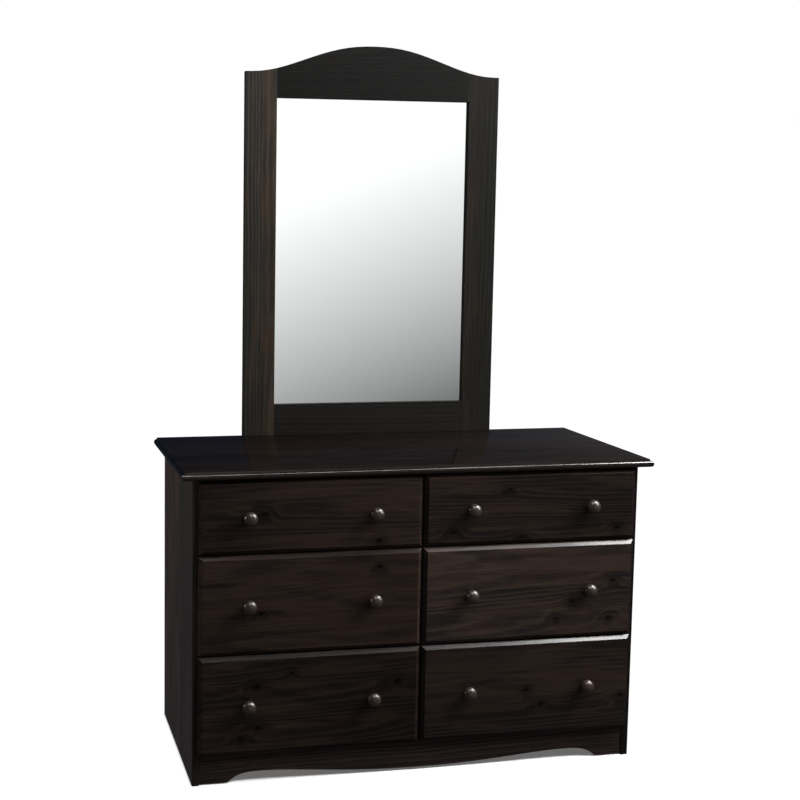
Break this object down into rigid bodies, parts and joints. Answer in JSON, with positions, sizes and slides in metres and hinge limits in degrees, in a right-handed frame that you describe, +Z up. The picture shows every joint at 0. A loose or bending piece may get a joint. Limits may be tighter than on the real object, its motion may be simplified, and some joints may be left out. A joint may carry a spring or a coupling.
{
  "type": "dresser with mirror",
  "caption": "Wide pine dresser with two columns of sliding drawers between side panels and an arched, framed mirror standing on its top, held by two rear uprights.",
  "frame": {"origin": "on the floor, at the middle of the footprint between the knobs' faces and the backs of the mirror supports", "axes": "+X across to the right as seen from the front, +Y from the front to the back, +Z up"},
  "size_m": [1.22, 0.567, 1.869],
  "materials": {
    "stained_pine": "dark brown stain under satin lacquer",
    "stained_pine_top": "dark brown stain under semi-gloss lacquer",
    "stained_knob": "dark brown stain under gloss lacquer, turned",
    "bare_pine": "planed, unfinished",
    "plywood": "sanded plywood, unfinished",
    "hardboard": "brown hardboard, smooth face out",
    "silvered_glass": "clear float glass, silvered on its back"
  },
  "bodies": {
    "case": {"top_panel": "stained_pine_top", "side_panel_left": "stained_pine", "side_panel_right": "stained_pine", "centre_partition": "bare_pine", "web_frame_bottom": "bare_pine", "web_frame_lower": "bare_pine", "web_frame_upper": "bare_pine", "web_frame_top": "bare_pine", "plinth": "stained_pine", "back_panel": "plywood", "mirror_stile_left": "stained_pine", "mirror_stile_right": "stained_pine", "mirror_top_rail": "stained_pine", "mirror_bottom_rail": "stained_pine", "mirror_glass": "silvered_glass", "mirror_backing_board": "hardboard", "mirror_support_left": "stained_pine", "mirror_support_right": "stained_pine"},
    "drawer_top_left": {"drawer_top_left_front": "stained_pine", "drawer_top_left_side_left": "bare_pine", "drawer_top_left_side_right": "bare_pine", "drawer_top_left_back": "bare_pine", "drawer_top_left_bottom": "plywood", "drawer_top_left_knob_left": "stained_knob", "drawer_top_left_knob_right": "stained_knob"},
    "drawer_top_right": {"drawer_top_right_front": "stained_pine", "drawer_top_right_side_left": "bare_pine", "drawer_top_right_side_right": "bare_pine", "drawer_top_right_back": "bare_pine", "drawer_top_right_bottom": "plywood", "drawer_top_right_knob_left": "stained_knob", "drawer_top_right_knob_right": "stained_knob"},
    "drawer_middle_left": {"drawer_middle_left_front": "stained_pine", "drawer_middle_left_side_left": "bare_pine", "drawer_middle_left_side_right": "bare_pine", "drawer_middle_left_back": "bare_pine", "drawer_middle_left_bottom": "plywood", "drawer_middle_left_knob_left": "stained_knob", "drawer_middle_left_knob_right": "stained_knob"},
    "drawer_middle_right": {"drawer_middle_right_front": "stained_pine", "drawer_middle_right_side_left": "bare_pine", "drawer_middle_right_side_right": "bare_pine", "drawer_middle_right_back": "bare_pine", "drawer_middle_right_bottom": "plywood", "drawer_middle_right_knob_left": "stained_knob", "drawer_middle_right_knob_right": "stained_knob"},
    "drawer_bottom_left": {"drawer_bottom_left_front": "stained_pine", "drawer_bottom_left_side_left": "bare_pine", "drawer_bottom_left_side_right": "bare_pine", "drawer_bottom_left_back": "bare_pine", "drawer_bottom_left_bottom": "plywood", "drawer_bottom_left_knob_left": "stained_knob", "drawer_bottom_left_knob_right": "stained_knob"},
    "drawer_bottom_right": {"drawer_bottom_right_front": "stained_pine", "drawer_bottom_right_side_left": "bare_pine", "drawer_bottom_right_side_right": "bare_pine", "drawer_bottom_right_back": "bare_pine", "drawer_bottom_right_bottom": "plywood", "drawer_bottom_right_knob_left": "stained_knob", "drawer_bottom_right_knob_right": "stained_knob"}
  },
  "joints": [
    {"name": "drawer_top_left_slide", "type": "slide", "parent": "case", "child": "drawer_top_left", "axis": [0, -1, 0], "range_m": [0, 0.35]},
    {"name": "drawer_top_right_slide", "type": "slide", "parent": "case", "child": "drawer_top_right", "axis": [0, -1, 0], "range_m": [0, 0.35]},
    {"name": "drawer_middle_left_slide", "type": "slide", "parent": "case", "child": "drawer_middle_left", "axis": [0, -1, 0], "range_m": [0, 0.35]},
    {"name": "drawer_middle_right_slide", "type": "slide", "parent": "case", "child": "drawer_middle_right", "axis": [0, -1, 0], "range_m": [0, 0.35]},
    {"name": "drawer_bottom_left_slide", "type": "slide", "parent": "case", "child": "drawer_bottom_left", "axis": [0, -1, 0], "range_m": [0, 0.35]},
    {"name": "drawer_bottom_right_slide", "type": "slide", "parent": "case", "child": "drawer_bottom_right", "axis": [0, -1, 0], "range_m": [0, 0.35]}
  ]
}
